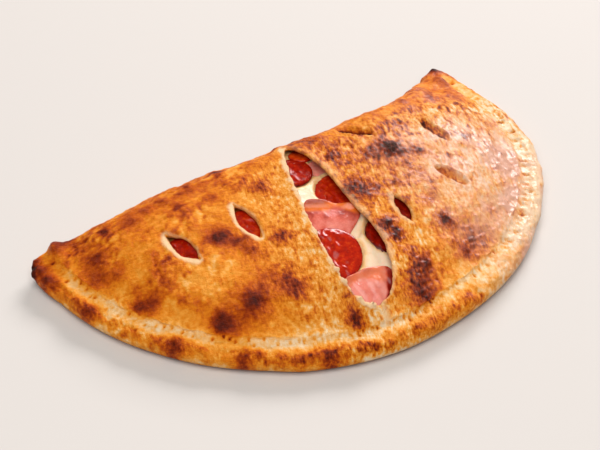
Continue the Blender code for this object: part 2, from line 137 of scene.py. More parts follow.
# Where a thumb has pushed the dough, all in millimetres: the place, its radius, and the push
NUDGES = (
    ((127, 79), 7, (1.0, -2.0, -4.0)),
    ((138, 82), 5, (-1.0, 1.0, 2.6)),
    ((1, 57), 4, (-1.0, 0.5, 1.6)),
)
LIP_SHIFT = 4.8 * MM           # the gash's right lip leans this far over the filling, at most
LIP_DROOP = 1.2 * MM
LIP_SHIFT_Y = -3 * MM
LIP_SHIFT_RUN = 24 * MM

# The crimp that the fork leaves: a wandering groove, a knobbly rim outside it, and pricks.
# The solid's groove is filled up, and this one is dug in its place, both less so on the right
GROOVE_FILL = 3.9 * MM
GROOVE_FILL_LESS = 1.2 * MM
DIG_DEPTH = 1.1 * MM
DIG_DEPTH_LESS = 0.5 * MM
DIG_RUN = 4.8 * MM
DIG_RUN_LESS = 2.4 * MM
GROOVE_WANDER = 1.3 * MM
GROOVE_RUN = 4.4 * MM
GROOVE_RUN_MORE = 1.4 * MM     # wider by this at the front right
KNOB_HEIGHT = 2.4 * MM
RIM_DROP = 0.8 * MM
PRICKED_SWEEP = (math.radians(-200), math.radians(20))
PRICKED_STEPS = 2200
PRICK_SPACING = 4.2 * MM
PRICK_JITTER = 1.7 * MM
PRICK_DEPTH = 1.4 * MM
PRICK_LENGTH = 1.0 * MM        # across the groove
PRICK_WIDTH = 0.7 * MM
PRICK_GROWTH = 0.6             # they are this share larger at the right end

# Browned bubbles in millimetres: x, y, radius, how dark from 0 to 1
BUBBLES = (
    (-68, 17, 8.5, 0.90), (-62, 8, 8.0, 0.62), (-60, -1, 7.0, 0.50), (-76, -24, 6.5, 0.92),
    (-76, -26, 13.0, 0.35), (-95, -22, 6.5, 0.90), (-91, -27, 9.0, 0.50), (-120, 14, 6.0, 0.72),
    (-114, 11, 8.5, 0.45), (-126, 42, 7.5, 0.52), (-120, 53, 7.0, 0.60), (-117, 37, 6.0, 0.45),
    (-100, 24, 4.5, 0.45), (-103, 11, 4.5, 0.32), (-103, -1, 4.5, 0.40), (-117, 22, 3.5, 0.30),
    (-72, 48, 5.0, 0.55), (-85, 59, 4.5, 0.45), (-96, 58, 6.0, 0.50), (-76, 58, 4.5, 0.42),
    (-54, 41, 5.5, 0.48), (-60, 58, 4.0, 0.50), (-30, 32, 5.5, 0.52), (-41, -3, 6.0, 0.75),
    (-64, -15, 8.0, 0.30), (-56, -25, 6.5, 0.60), (-55, -31, 8.0, 0.66), (-39, -59, 5.5, 0.92),
    (-35, -49, 5.0, 0.45), (-125, 79, 11.0, 0.70), (-138, 71, 6.0, 0.45), (-147, 80, 6.5, 1.00),
    (-142, 63, 6.5, 0.58), (-140, 31, 6.5, 0.55), (-121, -16, 5.5, 0.72), (-98, -45, 6.0, 0.68),
    (-62, -68, 7.0, 0.72), (-77, -62, 6.0, 0.40), (47, 19, 8.5, 1.0), (49, 12, 6.5, 0.85),
    (61, 8, 5.0, 0.80), (17, 30, 5.0, 0.68), (14, 4, 5.5, 0.62), (15, -1, 5.5, 0.76),
    (9, -28, 6.0, 0.72), (8, -35, 6.0, 0.68), (39, -38, 5.5, 0.86), (95, 7, 5.0, 0.50),
    (41, -24, 4.5, 0.58), (67, 32, 6.0, 0.50), (107, 49, 7.0, 0.42), (87, 51, 6.0, 0.40),
    (84, 41, 6.5, 0.40), (129, 66, 6.0, 0.30), (124, 47, 6.0, 0.45), (107, -7, 8.5, 0.50),
    (104, -20, 9.5, 0.42), (71, -42, 6.5, 0.40), (95, -33, 7.0, 0.36), (84, -43, 6.5, 0.38),
    (54, -52, 12.5, 0.42), (46, -54, 9.5, 0.50), (37, -56, 7.0, 0.50), (12, -53, 6.0, 0.66),
    (6, -59, 7.5, 0.58), (-1, -65, 8.0, 0.66), (47, -6, 6.5, 0.42), (33, -6, 6.0, 0.42),
    (74, -68, 6.5, 0.28), (68, -71, 6.5, 0.40), (134, 78, 5.0, 0.35), (26, 24, 28, 0.22),
    (137, 81, 5.6, 0.85),
)
BUBBLE_HEIGHT = 0.8 * MM
FULLY_RISEN = 7.0              # a bubble of this radius in mm stands fully up
LIGHTER_LEFT_OF = -20          # those further left, in mm, are this share as dark
LIGHTER_BUBBLE = 0.9
SMALL_BUBBLES = 120
SMALL_BUBBLE_RANGES = ((-138, 138), (-78, 76), (2.0, 5.0), (0.06, 0.26))

# The unevenness of the dough: how large its lumps are, and how high they stand
STREAK_TURN = math.radians(-21)  # from the Y axis, of the fine creases on the right
DASH_TURN = math.radians(-32)    # from the X axis, of the short flakes elsewhere
ROLL_SIZE = 34 * MM
SWELL_SIZE = 13 * MM
DIMPLE_SIZE = 5.5 * MM
GRAIN_SIZE = 2.1 * MM
CREASE_SIZE = (1.9 * MM, 8 * MM, 4 * MM)
FOLD_CREASE_SIZE = (12 * MM, 2.4 * MM, 2.5 * MM)
WAVE_SIZE = 7 * MM             # the creases and dimples sway this far, in waves of this size
WAVE_REACH = 1.6 * MM
PATCH_SIZE = 22 * MM           # of rougher and smoother patches
ROLL_HEIGHT = 1.3 * MM
SWELL_HEIGHT = 1.0 * MM
DIMPLE_HEIGHT = 0.60 * MM
GRAIN_HEIGHT = 0.34 * MM
CREASE_HEIGHT = 0.30 * MM
CREASE_HEIGHT_MORE = 0.34 * MM  # higher by this at the right end
WRINKLE_GRAIN = 1.1 * MM       # a browned bubble's skin is wrinkled on top of that
WRINKLE_CREASE = 0.5 * MM

# How browned the plain skin is, from 0 for raw to 1 for charred, and what each thing adds; some of
# these are painted light and shade
GOLDEN = 0.34
RIGHT_TONE = -0.10             # the right half
FOLD_TONE = 0.12               # round the fold
CREST_TONE = 0.035             # in front of the fold
FOOT_LIGHT_TONE = -0.20              # low down on the sides: paler, partly painted light lifting the shade there
LEFT_LIP_TONE = -0.06          # beside the gash
RIGHT_LIP_TONE = 0.05
RIM_TONE = 0.12
GROOVE_TONE = -0.29
LOW_RIGHT_TONE = -0.08         # at the front right, and on its rim
LOW_RIGHT_RIM_TONE = -0.17
ROLL_TONE = 0.12
SWELL_TONE = 0.09
DIMPLE_TONE = 0.18
# crease ridges are painted paler as a highlight, and their hollows darker as shade
CREASE_HIGHLIGHT_TONE = -0.14
GRAIN_TONE = -0.12
# the fork's pricks are painted darker, as the shade inside them
PRICK_SHADE_TONE = 0.50
RIGHT_TIP_TONE = 0.12
WALL_SHADE_TONE = 0.36               # of the cuts' inner walls, whatever is round them: a set tone in place of the pale lip, partly painted shade inside the cuts
UNDERSIDE_TONE = 0.55
SHEEN_PAINT_SHARE = 0.50             # how strong the pale painted sheen is, and how strong it is round a bubble
BUBBLE_SHEEN_SHARE = 1.6


def copy_of(node, name):
    """A copy of a solid as one closed mesh, its doubles merged and its triangles paired."""
    bm = bmesh.new()
    bm.from_mesh(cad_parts[node].data)
    bmesh.ops.remove_doubles(bm, verts=bm.verts[:], dist=0.01 * MM)
    bmesh.ops.join_triangles(
        bm, faces=bm.faces[:], angle_face_threshold=PAIR_ANGLE, angle_shape_threshold=PAIR_SHAPE
    )
    mesh = bpy.data.meshes.new(name)
    bm.to_mesh(mesh)
    bm.free()
    obj = bpy.data.objects.new(name, mesh)
    bpy.context.scene.collection.objects.link(obj)
    return obj


def add_modifier(obj, kind, **settings):
    """A modifier of this kind with these settings."""
    modifier = obj.modifiers.new(kind.lower(), kind)
    for name, value in settings.items():
        setattr(modifier, name, value)


def apply_modifiers(obj):
    """Makes what the modifiers show the piece's own mesh."""
    graph = bpy.context.evaluated_depsgraph_get()
    obj_mesh = bpy.data.meshes.new_from_object(obj.evaluated_get(graph))
    obj.modifiers.clear()
    obj.data = obj_mesh
    obj.data.shade_smooth()


def remesh(obj, voxel, smoothing):
    """Rounds the solid's facets off and gives it an even, fine mesh."""
    add_modifier(obj, "SUBSURF", levels=2, render_levels=2)
    add_modifier(obj, "REMESH", mode="VOXEL", voxel_size=voxel)
    add_modifier(obj, "SMOOTH", factor=0.5, iterations=smoothing)
    apply_modifiers(obj)


def thin(obj, shown, share):
    """Keeps only this share of the faces that nobody sees."""
    hidden = np.flatnonzero(~shown)
    group = obj.vertex_groups.new(name="hidden")
    group.add(hidden.tolist(), 1.0, "REPLACE")
    ratio = 1.0 - len(hidden) / len(shown) * (1.0 - share)
    add_modifier(obj, "DECIMATE", ratio=ratio, vertex_group="hidden")
    apply_modifiers(obj)
    obj.vertex_groups.clear()


def points_of(mesh):
    flat = np.empty(len(mesh.vertices) * 3)
    mesh.vertices.foreach_get("co", flat)
    return flat.reshape(-1, 3)


def normals_of(mesh):
    flat = np.empty(len(mesh.vertices) * 3)
    mesh.vertex_normals.foreach_get("vector", flat)
    return flat.reshape(-1, 3)


def place_points(mesh, points):
    mesh.vertices.foreach_set("co", points.ravel())
    mesh.update()


def store(mesh, name, values):
    """A value for each vertex, which the material reads by this name."""
    mesh.attributes.new(name, "FLOAT", "POINT").data.foreach_set("value", values.astype(np.float32))


def lumps(points, size, seed):
    """Soft noise between about -1 and 1, in lumps of this size, which may differ by axis."""
    places = points / np.array(size) + 7.31 * seed
    return np.array([noise.noise(place) for place in places.tolist()])


def ramp(values, low, high):
    """0 below low, 1 above high, and smooth between them."""
    share = np.clip((values - low) / (high - low), 0.0, 1.0)
    return share * share * (3.0 - 2.0 * share)


def bell(distance, run):
    """1 where the distance is 0, fading on both sides."""
    return np.exp(-(distance / run) ** 2)


def edge_share(x, y):
    """1 on the curved edge, less inside it."""
    to_right = 1.0 / (1.0 + np.exp(-x / ARC_POWER_BLEND))
    power = ARC_POWER_LEFT + (ARC_POWER_RIGHT - ARC_POWER_LEFT) * to_right
    along = (np.abs(x) / HALF_LENGTH) ** power
    out = (np.abs(y - ARC_LINE_Y) / ARC_REACH) ** power
    return (along + out) ** (1.0 / power)


def edge_inset(x, y):
    """How far a point is inside the curved edge."""
    share = edge_share(x, y)
    return (1.0 - share) / np.maximum(share, 0.001) * np.hypot(x, y - ARC_LINE_Y)


def along_gash(y):
    """0 at the gash's back end and 1 at its front end."""
    return np.clip((y - GASH_BACK[1]) / (GASH_FRONT[1] - GASH_BACK[1]), 0.0, 1.0)


def gash_spine(y):
    """The x of the gash's bowed middle line."""
    share = along_gash(y)
    straight = GASH_BACK[0] + (GASH_FRONT[0] - GASH_BACK[0]) * share
    return straight + GASH_BOW * np.sin(math.pi * share)


def gash_distance(x, y):
    """How far a point is outside the large gash, less than 0 inside it."""
    inside = along_gash(y)
    widest = GASH_BACK_POWER / (GASH_BACK_POWER + GASH_FRONT_POWER)
    opening = inside ** GASH_BACK_POWER * (1.0 - inside) ** GASH_FRONT_POWER
    opening /= widest ** GASH_BACK_POWER * (1.0 - widest) ** GASH_FRONT_POWER
    beside = np.abs(x - gash_spine(y)) - GASH_HALF_WIDTH * opening
    beyond = np.maximum(y - GASH_BACK[1], GASH_FRONT[1] - y)
    return np.where(beyond > 0.0, np.hypot(np.maximum(beside, 0.0), beyond), beside)


def slit_places(x, y, slit):
    """How far a point is outside a small slit, and its shares of the slit's two half sizes."""
    centre_x, centre_y, direction, length, width = slit[:5]
    turn = math.radians(direction)
    across_x = x - centre_x * MM
    across_y = y - centre_y * MM
    along = (across_x * math.cos(turn) + across_y * math.sin(turn)) / (length * MM)
    beside = (across_y * math.cos(turn) - across_x * math.sin(turn)) / (width * MM)
    size = np.maximum(np.hypot(along, beside), 0.01)
    slope = np.hypot(along / length, beside / width) / size / MM
    return (size - 1.0) / slope, along, beside


def sees_out(obj):
    """For each vertex, whether it looks out of the piece and not at another side of its inside."""
    tree = BVHTree.FromObject(obj, bpy.context.evaluated_depsgraph_get())
    points = points_of(obj.data)
    normals = normals_of(obj.data)
    starts = (points + normals * 0.5 * MM).tolist()
    ways = normals.tolist()
    rays = zip(starts, ways)
    return np.array([tree.ray_cast(start, way, SIGHT)[0] is None for start, way in rays])


def edge_angle(x, y):
    """A point's direction from the middle of the widest line, running down from the seam."""
    angle = np.arctan2(y - ARC_LINE_Y, x)
    return np.where(angle > EDGE_SEAM, angle - 2.0 * math.pi, angle)


def groove_inset(x, y):
    """How far inside the edge the crimp runs, which is less round both ends."""
    less = CRIMP_LESS_RIGHT * ramp(x, 50 * MM, 95 * MM)
    return CRIMP_INSET - less - CRIMP_LESS_LEFT * ramp(-x, 90 * MM, 120 * MM)


def groove_pricks(x, y):
    """Depth of the fork pricks at each point, from 0 to 1."""
    angles = np.linspace(*PRICKED_SWEEP, PRICKED_STEPS)
    reach = 1.0 / edge_share(np.cos(angles), ARC_LINE_Y + np.sin(angles))
    for _ in range(3):
        reach /= edge_share(reach * np.cos(angles), ARC_LINE_Y + reach * np.sin(angles))
    groove = np.stack((np.cos(angles), np.sin(angles))) * (reach - GROOVE_INSET)
    lengths = np.concatenate(((0.0,), np.cumsum(np.hypot(*np.diff(groove)))))
    along = np.interp(edge_angle(x, y), angles, lengths)
    nearest = np.round(along / PRICK_SPACING)
    draw = np.random.default_rng(4)
    count = int(lengths[-1] / PRICK_SPACING) + 2
    shift_along = draw.uniform(-PRICK_JITTER, PRICK_JITTER, count)[nearest.astype(int)]
    shift_across = draw.uniform(-PRICK_JITTER, PRICK_JITTER, count)[nearest.astype(int)]
    strength = draw.uniform(0.1, 1.0, count)[nearest.astype(int)]
    bigger = 1.0 + PRICK_GROWTH * ramp(x, 0.0, 80 * MM)
    off_along = (along - nearest * PRICK_SPACING - shift_along) / PRICK_WIDTH / bigger
    off_across = (edge_inset(x, y) - groove_inset(x, y) - shift_across) / PRICK_LENGTH / bigger
    return strength * np.exp(-off_along ** 2 - off_across ** 2)


def small_bubbles():
    """The small browned bubbles between the large ones."""
    draw = np.random.default_rng(11)
    rows = []
    for _ in range(SMALL_BUBBLES):
        rows.append(tuple(draw.uniform(low, high) for low, high in SMALL_BUBBLE_RANGES))
    return tuple(rows)


def around(at, place, run):
    """1 at a place as seen from above, fading round it."""
    return bell(np.hypot(at.x - place[0], at.y - place[1]), run)


def places_on(mesh):
    """Each point's place, and the shares by which it belongs to the parts of the crust."""
    at = SimpleNamespace(points=points_of(mesh), normals=normals_of(mesh))
    at.x, at.y, at.z = at.points.T
    at.inset = edge_inset(at.x, at.y)
    at.gash = gash_distance(at.x, at.y)
    at.right_lip = ramp(at.x - gash_spine(at.y), -2 * MM, 2 * MM)
    at.top = ramp(at.normals[:, 2], -0.3, 0.4) * ramp(at.z, 3 * MM, 8 * MM)
    at.skin = ramp(at.z, 0.3 * MM, 3 * MM)
    at.by_fold = ramp(at.y, FOLD_Y - 34 * MM, FOLD_Y - 12 * MM)
    at.to_right = ramp(at.x, 0.0, 90 * MM) * (1.0 - 0.6 * at.by_fold)
    at.low_right = ramp(at.x, 10 * MM, 60 * MM) * ramp(20 * MM - at.y, 0.0, 40 * MM)
    at.left_tip = around(at, LEFT_TIP, LEFT_TIP_RUN)
    at.right_tip = around(at, RIGHT_TIP, RIGHT_TIP_RUN)
    return at


def roughen(at):
    """The dough's unevenness of every size, each between about -1 and 1."""
    at.rolls = lumps(at.points, ROLL_SIZE, 1)
    at.swells = lumps(at.points, SWELL_SIZE, 2)
    waves = np.stack([lumps(at.points, WAVE_SIZE, seed) for seed in (3, 4, 5)], axis=1)
    wavy = at.points + WAVE_REACH * waves
    at.dimples = lumps(wavy, DIMPLE_SIZE, 6)
    turned = wavy @ np.array(Matrix.Rotation(STREAK_TURN, 3, "Z"))
    at.creases = lumps(turned, CREASE_SIZE, 7) * (1.0 - at.by_fold)
    at.creases += lumps(wavy, FOLD_CREASE_SIZE, 8) * at.by_fold
    at.grain = lumps(at.points, GRAIN_SIZE, 9)
    at.patches = 0.4 + 0.9 * ramp(lumps(at.points, PATCH_SIZE, 19), -0.25, 0.3)
    at.ragged = 1.1 * lumps(at.points, 5.0 * MM, 16) + 0.5 * lumps(at.points, 2.0 * MM, 17)


def blow_bubbles(at):
    """How browned the bubbles are, and how far they have risen, both from 0 to 1."""
    uneven = (0.6 + 0.4 * ramp(at.x, -20 * MM, 20 * MM)) * MM
    broad = 1.6 * uneven
    fine = 0.9 * uneven
    warp_x = at.x + broad * lumps(at.points, 8 * MM, 10) + fine * lumps(at.points, 3 * MM, 11)
    warp_y = at.y + broad * lumps(at.points, 8 * MM, 12) + fine * lumps(at.points, 3 * MM, 13)
    at.browned = np.zeros(len(at.points))
    at.risen = np.zeros(len(at.points))
    for bubble_x, bubble_y, radius, dark in BUBBLES + small_bubbles():
        far = np.hypot(warp_x - bubble_x * MM, warp_y - bubble_y * MM) / (radius * MM)
        if bubble_x < LIGHTER_LEFT_OF:
            dark *= LIGHTER_BUBBLE
        spot = dark * (0.45 * bell(far, 1.25) + 0.55 * bell(far, 0.62))  # a core in a soft ring
        at.browned = 1.0 - (1.0 - at.browned) * (1.0 - spot)
        at.risen = np.maximum(at.risen, spot * min(radius / FULLY_RISEN, 1.0))
    creased = (0.20 + 0.45 * at.to_right) * at.creases
    grainy = (0.12 + 0.13 * at.to_right) * at.grain
    at.browned *= 1.0 + creased + grainy


def press_crimp(at):
    """The fork's groove with its pricks, and the knobbly rim that it leaves outside it."""
    at.middle = groove_inset(at.x, at.y) + GROOVE_WANDER * lumps(at.points, 19 * MM, 21)
    at.off_groove = at.inset - at.middle
    at.rim = bell(at.inset - 0.34 * at.middle, 0.34 * at.middle)
    uneven = 1.0 + 0.4 * lumps(at.points, 12 * MM, 22)
    at.groove = bell(at.off_groove, (GROOVE_RUN + GROOVE_RUN_MORE * at.low_right) * uneven)
    at.knobs = 0.7 * lumps(at.points, 15 * MM, 14) + 0.6 * lumps(at.points, 6 * MM, 18)
    at.knobs *= (1.0 - 0.6 * ramp(at.x, 20 * MM, 90 * MM)) * (1.0 - at.right_tip)
    at.pricks = groove_pricks(at.x, at.y) * ramp(np.abs(at.off_groove), 5 * MM, 3 * MM)


def dry_cuts(at):
    """The pale lips of the gash and the slits, their inner walls, where a set tone that is partly
    painted shade replaces the lip, and the crease before the gash.
    """
    ahead = GASH_FRONT[1] - at.y
    at.crease = bell(at.x - GASH_FRONT[0] + 0.35 * ahead, 1.8 * MM)
    at.crease *= ramp(ahead, 0.0, 2 * MM) * ramp(at.inset, 10 * MM, 14 * MM)
    along = along_gash(at.y)
    width = LIP_WIDTH + LIP_WIDER_RIGHT * at.right_lip + LIP_TATTERS * at.ragged
    width += LIP_WIDER_BACK * (1.0 - at.right_lip) * (1.0 - along)
    at.lip = ramp(width - at.gash, -0.6 * MM, 0.6 * MM)
    paler = 0.7 * at.ragged * (1.0 - 0.8 * at.right_lip)
    at.lip *= 0.9 - (0.8 - 0.4 * along) * at.right_lip + paler
    steep = ramp(0.5 - at.normals[:, 2], 0.0, 0.4)
    at.wall = ramp(-at.gash, 0.2 * MM, 1.0 * MM) * steep
    for slit in SLITS:
        outside, _, beside = slit_places(at.x, at.y, slit)
        to_back = np.clip(beside, -1.0, 1.0)
        slit_width = 1.0 - 0.9 * to_back + 0.6 * at.ragged
        slit_lip = ramp(slit_width * MM - outside, -0.7 * MM, 0.7 * MM)
        slit_lip *= slit[-1] * (0.85 - 0.25 * to_back)
        at.lip = np.maximum(at.lip, slit_lip)
        at.wall = np.maximum(at.wall, ramp(-outside, -0.2 * MM, 0.6 * MM))


def score_scars(at):
    """Where the knife only scored the dough, the line of each cut with shade painted in it, and how
    browned it is.
    """
    at.scored = np.zeros(len(at.points))
    at.cut_line = np.zeros(len(at.points))
    at.scar_brown = np.zeros(len(at.points))
    for scar in SCARS:
        brown, darker = scar[5:]
        outside, along, beside = slit_places(at.x, at.y, scar)
        inside = ramp(-outside, -0.8 * MM, 0.8 * MM)
        hollow = inside * (0.75 - 0.25 * np.clip(beside, -1.0, 1.0))
        at.scored = np.maximum(at.scored, hollow)
        # the cut's line is painted dark, as the shade in its narrow gap
        line = bell(beside + 0.4 - 0.3 * along ** 2, 0.35)
        line *= ramp(1.05 - np.abs(along - 0.1), 0.0, 0.4)
        at.cut_line = np.maximum(at.cut_line, darker * line * inside)
        at.scar_brown += brown * (inside > 0.0)


def skin_relief(at):
    """How far each point of the top stands out from the solid's smooth skin."""
    relief = ROLL_HEIGHT * at.rolls + SWELL_HEIGHT * at.swells * (1.0 - at.groove)
    relief += DIMPLE_HEIGHT * at.dimples + GRAIN_HEIGHT * at.grain
    crease_height = CREASE_HEIGHT + CREASE_HEIGHT_MORE * at.to_right
    relief += crease_height * at.patches * at.creases * (1.0 - 0.6 * at.groove)
    wrinkled = np.clip(at.browned, 0.0, 1.0) * ramp(at.x, -30 * MM, 10 * MM)
    wrinkled *= ramp(105 * MM - at.x, 0.0, 35 * MM)
    relief += wrinkled * (WRINKLE_GRAIN * at.grain + WRINKLE_CREASE * at.creases)
    relief *= ramp(at.gash, 0.0, 9 * MM)
    relief += BUBBLE_HEIGHT * at.risen
    fill = GROOVE_FILL - GROOVE_FILL_LESS * at.to_right
    relief += fill * bell(at.inset - GROOVE_INSET, 4.5 * MM)
    dig = DIG_DEPTH - DIG_DEPTH_LESS * at.to_right
    relief -= dig * bell(at.off_groove, DIG_RUN - DIG_RUN_LESS * at.to_right)
    relief += at.rim * (KNOB_HEIGHT * at.knobs - RIM_DROP)
    relief -= PRICK_DEPTH * (1.0 + 0.3 * at.to_right) * at.pricks
    gnarled = 1.0 + 0.8 * lumps(at.points, 3.5 * MM, 15)
    relief += LEFT_TIP_RISE * at.left_tip * gnarled + RIGHT_TIP_RISE * at.right_tip
    relief -= FRONT_CREASE_DEPTH * at.crease
    return relief * (1.0 - 0.7 * at.scored) - SCAR_DEPTH * (at.scored + 0.6 * at.cut_line)


def shape_skin(at):
    """The crust's points with the relief, the torn lip, the stray edge and the pushes."""
    torn = bell(at.gash, 2.0 * MM) * ramp(at.z, 12 * MM, 16 * MM) * (1.0 - 0.7 * at.right_lip)
    torn *= (0.5 + 1.6 * along_gash(at.y) ** 2) * at.ragged
    moved = at.points + at.normals * (skin_relief(at) * at.top + TEAR_HEIGHT * torn)[:, None]

    edge = np.maximum(at.inset, 0.0)
    spread = bell(edge, 16 * MM) * ramp(FOLD_Y - at.y, -20 * MM, 10 * MM)
    spread *= EDGE_BULGE + EDGE_BULGE_MORE * at.to_right
    stray = np.interp(np.degrees(edge_angle(at.x, at.y)), *np.array(EDGE_STRAY).T) * MM
    spread += stray * bell(edge, 18 * MM) * ramp(at.inset, 40 * MM, 20 * MM)
    away = np.stack((at.x / HALF_LENGTH ** 2, (at.y - ARC_LINE_Y) / ARC_REACH ** 2), axis=1)
    away /= np.maximum(np.linalg.norm(away, axis=1), 1.0)[:, None]
    moved[:, :2] += away * spread[:, None]

    lean = bell(np.maximum(at.gash, 0.0), 9 * MM) * bell(at.y - LIP_SHIFT_Y, LIP_SHIFT_RUN)
    lean *= at.right_lip * ramp(at.z, 12 * MM, 20 * MM)
    moved[:, 0] -= LIP_SHIFT * lean
    moved[:, 2] -= LIP_DROOP * lean
    for place, radius, push in NUDGES:
        pushed = around(at, np.array(place) * MM, radius * MM) * at.skin
        moved += pushed[:, None] * np.array(push) * MM
    for slit in SLITS:
        outside, along, beside = slit_places(at.x, at.y, slit)
        near = bell(np.maximum(outside, 0.0), 4 * MM) * ramp(at.z, 10 * MM, 16 * MM)
        near *= 0.3 + bell(np.abs(along) - 0.85, 0.35)
        inwards = PINCH * near * np.clip(2.0 * beside, -1.0, 1.0)
        turn = math.radians(slit[2])
        moved[:, 0] += inwards * math.sin(turn)
        moved[:, 1] -= inwards * math.cos(turn)
    moved[:, 2] = np.maximum(moved[:, 2], at.points[:, 2].min())
    return moved


def browning(at):
    """How browned each point is, from 0 for raw dough to 1 for charred, with painted highlights and
    shade mixed in.
    """
    mottling = (DIMPLE_TONE + 0.17 * at.to_right) * at.dimples
    # painted highlight on the crease ridges and painted shade in their hollows
    mottling += (CREASE_HIGHLIGHT_TONE - 0.30 * at.to_right - 0.12 * at.by_fold) * at.creases
    mottling += SWELL_TONE * at.swells + ROLL_TONE * at.rolls + GRAIN_TONE * at.grain
    mottling *= (1.0 - 0.6 * at.groove) * (1.0 - 0.5 * at.low_right * at.rim) * at.patches
    golden = GOLDEN + mottling + RIGHT_TONE * at.to_right + FOLD_TONE * at.by_fold
    golden += LEFT_LIP_TONE * bell(at.gash, 9 * MM) * (1.0 - at.right_lip)
    golden += RIGHT_LIP_TONE * bell(at.gash - 12 * MM, 12 * MM) * at.right_lip
    golden += RIM_TONE * at.rim * (1.0 + 2.2 * at.knobs) * (1.0 - at.to_right)
    golden += (GROOVE_TONE - 0.03 * at.to_right) * at.groove * (1.0 + 0.5 * at.swells)
    golden += CREST_TONE * ramp(at.y, 0.0, 40 * MM) * (1.0 - at.by_fold)
    # partly painted light: paler low down, where the sides face down into shade
    golden += FOOT_LIGHT_TONE * ramp(10 * MM - at.z, 0.0, 6 * MM)
    golden += at.low_right * (LOW_RIGHT_TONE + LOW_RIGHT_RIM_TONE * at.rim)
    baked = golden + (1.0 - golden) * at.browned
    # the cut's line adds painted shade
    baked += (at.scar_brown - baked) * at.scored + at.cut_line
    # painted shade in the fork's pricks
    baked += PRICK_SHADE_TONE * at.pricks + RIGHT_TIP_TONE * at.right_tip
    baked += around(at, CHARRED_TIP, CHARRED_RUN)
    underside = UNDERSIDE_TONE + 0.16 * at.swells + 0.1 * at.dimples
    baked = baked * at.skin + underside * (1.0 - at.skin)
    # the cuts' inner walls take a set tone, partly painted shade
    return baked + (WALL_SHADE_TONE - baked) * at.wall


def sheen_paint_amount(at):
    """How much pale pinkish sheen is painted on the right half and round its bubbles, where the
    light is reflected.
    """
    sheened_place = ramp(at.x, 16 * MM, 76 * MM) * (1.0 - 0.92 * ramp(at.y, 8 * MM, 36 * MM))
    sheened_place *= (1.0 - 0.5 * at.rim) * (0.6 + 0.5 * at.patches)
    painted_sheen = SHEEN_PAINT_SHARE * sheened_place * (1.0 - 0.8 * at.groove) * (1.0 - at.scored)
    painted_sheen *= 1.0 + 0.9 * at.creases - 0.8 * at.dimples
    painted_sheen *= 1.0 - 0.9 * ramp(at.browned, 0.3, 0.75)
    round_bubbles = np.clip(at.browned * (1.0 - at.browned), 0.0, 1.0)
    bubble_sheen_place = ramp(at.x, 40 * MM, 56 * MM) * ramp(5 * MM - at.y, 0.0, 20 * MM)
    return painted_sheen + BUBBLE_SHEEN_SHARE * round_bubbles * bubble_sheen_place * at.patches


def oiliness(at):
    """How much the fat that has soaked through shines on the right half and on its bubbles."""
    glossy = ramp(at.x, 38 * MM, 92 * MM) * (1.0 - 0.85 * ramp(at.y, 12 * MM, 40 * MM))
    oiled = (0.01 + 0.32 * glossy) * at.patches
    oiled *= 1.0 + 0.4 * at.browned - 1.2 * at.browned ** 3
    bubble_shine = 0.45 + 0.5 * ramp(5 * MM - at.y, 0.0, 20 * MM)
    bubble_shine *= ramp(at.x, -60 * MM, 20 * MM)
    return (oiled + bubble_shine * at.browned * (1.0 - at.browned)) * (1.0 - at.scored)


def flakiness(at):
    """How much the fine creases of the skin show in its colour."""
    flaky = bell(np.maximum(at.gash, 0.0), 32 * MM) + 0.4 * at.rim + 0.8 * at.to_right + 0.2
    more = 1.0 + 0.35 * at.to_right - 0.7 * at.low_right * at.rim - 0.7 * at.by_fold
    return np.clip(flaky, 0.0, 1.0) * more


def bake_dough(obj):
    """Gives the crust its relief, and stores what its finish reads at each place."""
    mesh = obj.data
    at = places_on(mesh)
    roughen(at)
    blow_bubbles(at)
    press_crimp(at)
    dry_cuts(at)
    score_scars(at)
    place_points(mesh, shape_skin(at))
    pale = np.clip(at.lip + 0.7 * at.crease, 0.0, 1.0) * (1.0 - at.wall)
    store(mesh, "baked", np.clip(browning(at), 0.0, 1.0))
    store(mesh, "pale", pale * at.skin)
    store(mesh, "painted_sheen", np.clip(sheen_paint_amount(at), 0.0, 1.0))
    store(mesh, "oiled", np.clip(oiliness(at), 0.0, 1.0))
    store(mesh, "flaky", flakiness(at))


def new_node(tree, kind, settings=None, **inputs):
    """A shader node. Inputs are values or the sockets that feed them, by name or as _number."""
    made = tree.nodes.new("ShaderNode" + kind)
    for name, value in (settings or {}).items():
        setattr(made, name, value)
    for name, value in inputs.items():
        key = int(name[1:]) if name[0] == "_" else name.replace("_", " ")
        socket = made.inputs[key]
        if isinstance(value, bpy.types.NodeSocket):
            tree.links.new(value, socket)
        else:
            socket.default_value = value
    return made


def math_node(tree, operation, first, second):
    """The result of one sum on two values."""
    return new_node(tree, "Math", {"operation": operation}, _0=first, _1=second).outputs[0]


def add_share(tree, value, other, share):
    """A value and this share of another."""
    return math_node(tree, "ADD", value, math_node(tree, "MULTIPLY", other, share))


def mix_colours(tree, share, first, second):
    """The first colour, with this share of the second over it."""
    made = new_node(tree, "Mix", {"data_type": "RGBA"}, _0=share, _6=first, _7=second)
    return made.outputs[2]


def linear(*srgb):
    """A colour as a screen shows it, 0 to 255, as the shader's own numbers."""
    share = [value / 255.0 for value in srgb]
    return [c / 12.92 if c <= 0.04045 else ((c + 0.055) / 1.055) ** 2.4 for c in share] + [1.0]


def colour_ramp(tree, value, stops):
    """The colour for a value, between the stops' colours."""
    made = new_node(tree, "ValToRGB", Fac=value)
    elements = made.color_ramp.elements
    while len(elements) < len(stops):
        elements.new(1.0)
    for element, (place, colour) in zip(elements, stops):
        element.position = place
        element.color = linear(*colour)
    return made.outputs["Color"]


FINER = 3.1                    # the bumps' fine noise is this many times as fine


